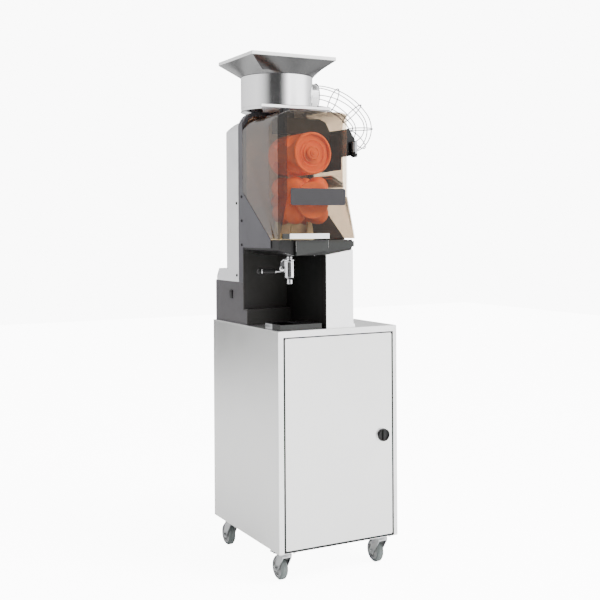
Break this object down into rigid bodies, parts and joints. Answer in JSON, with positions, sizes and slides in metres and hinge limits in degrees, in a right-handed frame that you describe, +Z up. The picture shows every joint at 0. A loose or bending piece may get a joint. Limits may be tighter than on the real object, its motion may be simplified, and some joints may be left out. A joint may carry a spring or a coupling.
{
  "type": "electric orange juicer",
  "caption": "Automatic citrus juicer with a square fruit hopper, wire chute, smoked cover over paired drums, a juice tap and a wheeled steel cabinet with a hinged door.",
  "frame": {"origin": "middle of the bounding box in plan, on the floor under the wheels", "axes": "+Z up, -Y the side with the cabinet door and the tap, +X the side with the fruit chute"},
  "size_m": [0.5244, 0.555, 1.778],
  "materials": {
    "cabinet_steel": "fine vertical brushing, satin",
    "chrome_trim": "polished",
    "shaft_steel": "turned",
    "satin_steel": "satin",
    "zinc_steel": "bright zinc plating",
    "bin_plastic": "fine texture",
    "base_grey": "fine textured paint",
    "rear_grey": "satin paint",
    "chassis_grey": "satin paint",
    "splash_beige": "smooth",
    "bay_black": "smooth",
    "duct_white": "smooth",
    "smoked_cover": "clear, smoke-brown tint",
    "plate_dark": "smooth, blank",
    "black_plastic": "fine texture",
    "pan_dark": "smooth",
    "drum_orange": "smooth",
    "bearing_white": "smooth",
    "motor_black": "satin paint",
    "comb_yellow": "smooth",
    "guide_grey": "smooth",
    "deck_white": "smooth",
    "caster_core": "smooth",
    "caster_tyre": "smooth rolling tread"
  },
  "bodies": {
    "cabinet": {"cabinet_shell": "cabinet_steel", "cabinet_top": "cabinet_steel", "front_frame": "cabinet_steel", "hinge_pins": "shaft_steel", "waste_bin": "bin_plastic", "caster_plates": "zinc_steel", "base_housing": "base_grey", "rear_cover": "rear_grey", "chassis_frame": "chassis_grey", "splash_wall": "splash_beige", "bay_liner": "bay_black", "peel_duct": "duct_white", "collector_pan": "pan_dark", "strainer": "satin_steel", "tap_body": "chrome_trim", "cover_catch": "black_plastic", "shaft_bearings": "bearing_white", "gear_motor": "motor_black", "cutting_knife": "satin_steel", "ejector_comb": "comb_yellow", "infeed_box": "black_plastic", "infeed_guide": "guide_grey", "deck_plate": "deck_white", "feeder_bowl": "satin_steel", "feeder_motor": "motor_black", "hopper": "satin_steel", "wire_chute": "chrome_trim", "power_inlet": "black_plastic", "panel_screws": "black_plastic"},
    "door": {"cabinet_door": "cabinet_steel"},
    "lock": {"lock_knob": "black_plastic"},
    "swivel_front_left": {"caster_fork_front_left": "zinc_steel"},
    "wheel_front_left": {"caster_wheel_front_left": "caster_core", "caster_tyre_front_left": "caster_tyre"},
    "pedal_front_left": {"brake_pedal_front_left": "zinc_steel"},
    "swivel_front_right": {"caster_fork_front_right": "zinc_steel"},
    "wheel_front_right": {"caster_wheel_front_right": "caster_core", "caster_tyre_front_right": "caster_tyre"},
    "pedal_front_right": {"brake_pedal_front_right": "zinc_steel"},
    "swivel_back_left": {"caster_fork_back_left": "zinc_steel"},
    "wheel_back_left": {"caster_wheel_back_left": "caster_core", "caster_tyre_back_left": "caster_tyre"},
    "swivel_back_right": {"caster_fork_back_right": "zinc_steel"},
    "wheel_back_right": {"caster_wheel_back_right": "caster_core", "caster_tyre_back_right": "caster_tyre"},
    "cover": {"front_cover": "smoked_cover", "cover_handle": "chrome_trim", "name_plate": "plate_dark"},
    "lever": {"tap_lever": "shaft_steel", "tap_grip": "black_plastic"},
    "upper": {"upper_drum": "drum_orange", "upper_shaft": "shaft_steel"},
    "lower": {"lower_drum": "drum_orange", "lower_shaft": "shaft_steel"},
    "pinion": {"motor_pinion": "shaft_steel"},
    "disc": {"feeder_disc": "bearing_white"},
    "tray": {"drip_tray": "pan_dark", "drip_grid": "satin_steel"},
    "rocker": {"power_switch": "black_plastic"},
    "latch": {"latch_knob": "black_plastic"}
  },
  "joints": [
    {"name": "door_hinge", "type": "hinge", "parent": "cabinet", "child": "door", "pos_m": [-0.2072, -0.2635, 0.4645], "axis": [0, 0, -1], "range_deg": [0, 105]},
    {"name": "lock_turn", "type": "hinge", "parent": "door", "child": "lock", "pos_m": [0.1658, -0.2675, 0.462], "axis": [0, 1, 0], "range_deg": [0, 90]},
    {"name": "swivel_front_left", "type": "hinge", "parent": "cabinet", "child": "swivel_front_left", "pos_m": [-0.1942, -0.2235, 0.1], "axis": [0, 0, 1], "continuous": true},
    {"name": "wheel_front_left", "type": "hinge", "parent": "swivel_front_left", "child": "wheel_front_left", "pos_m": [-0.1942, -0.1885, 0.04], "axis": [1, 0, 0], "continuous": true},
    {"name": "brake_front_left", "type": "hinge", "parent": "swivel_front_left", "child": "pedal_front_left", "pos_m": [-0.1942, -0.1735, 0.086], "axis": [-1, 0, 0], "range_deg": [0, 12]},
    {"name": "swivel_front_right", "type": "hinge", "parent": "cabinet", "child": "swivel_front_right", "pos_m": [0.1818, -0.2235, 0.1], "axis": [0, 0, 1], "continuous": true},
    {"name": "wheel_front_right", "type": "hinge", "parent": "swivel_front_right", "child": "wheel_front_right", "pos_m": [0.1818, -0.1885, 0.04], "axis": [1, 0, 0], "continuous": true},
    {"name": "brake_front_right", "type": "hinge", "parent": "swivel_front_right", "child": "pedal_front_right", "pos_m": [0.1818, -0.1735, 0.086], "axis": [-1, 0, 0], "range_deg": [0, 12]},
    {"name": "swivel_back_left", "type": "hinge", "parent": "cabinet", "child": "swivel_back_left", "pos_m": [-0.1942, 0.2025, 0.1], "axis": [0, 0, 1], "continuous": true},
    {"name": "wheel_back_left", "type": "hinge", "parent": "swivel_back_left", "child": "wheel_back_left", "pos_m": [-0.1942, 0.2375, 0.04], "axis": [1, 0, 0], "continuous": true},
    {"name": "swivel_back_right", "type": "hinge", "parent": "cabinet", "child": "swivel_back_right", "pos_m": [0.1818, 0.2025, 0.1], "axis": [0, 0, 1], "continuous": true},
    {"name": "wheel_back_right", "type": "hinge", "parent": "swivel_back_right", "child": "wheel_back_right", "pos_m": [0.1818, 0.2375, 0.04], "axis": [1, 0, 0], "continuous": true},
    {"name": "cover_pull", "type": "slide", "parent": "cabinet", "child": "cover", "axis": [0, -1, 0], "range_m": [0, 0.12]},
    {"name": "tap_lift", "type": "hinge", "parent": "cabinet", "child": "lever", "pos_m": [-0.1639, -0.16011, 1.04], "axis": [0.6157, 0.788, 0], "range_deg": [0, 30]},
    {"name": "upper_spin", "type": "hinge", "parent": "cabinet", "child": "upper", "pos_m": [-0.0852, 0.0025, 1.429], "axis": [0, 1, 0], "continuous": true},
    {"name": "lower_spin", "type": "hinge", "parent": "cabinet", "child": "lower", "pos_m": [-0.0852, 0.0025, 1.271], "axis": [0, 1, 0], "continuous": true},
    {"name": "motor_spin", "type": "hinge", "parent": "cabinet", "child": "pinion", "pos_m": [-0.03385, 0.0785, 1.18206], "axis": [0, 1, 0], "continuous": true},
    {"name": "feeder_spin", "type": "hinge", "parent": "cabinet", "child": "disc", "pos_m": [-0.0992, 0.0065, 1.6], "axis": [0, 0, 1], "continuous": true},
    {"name": "tray_pull", "type": "slide", "parent": "cabinet", "child": "tray", "axis": [0, -1, 0], "range_m": [0, 0.1]},
    {"name": "switch_rock", "type": "hinge", "parent": "cabinet", "child": "rocker", "pos_m": [-0.2267, 0.1225, 0.94], "axis": [0, 1, 0], "range_deg": [0, 8]},
    {"name": "latch_turn", "type": "hinge", "parent": "cabinet", "child": "latch", "pos_m": [0.1468, -0.1185, 1.44], "axis": [0, 0, 1], "range_deg": [0, 90]}
  ],
  "couplings": [
    {"joint": "lower_spin", "follows": "upper_spin", "ratio": -1},
    {"joint": "motor_spin", "follows": "upper_spin", "ratio": 3.3333}
  ]
}
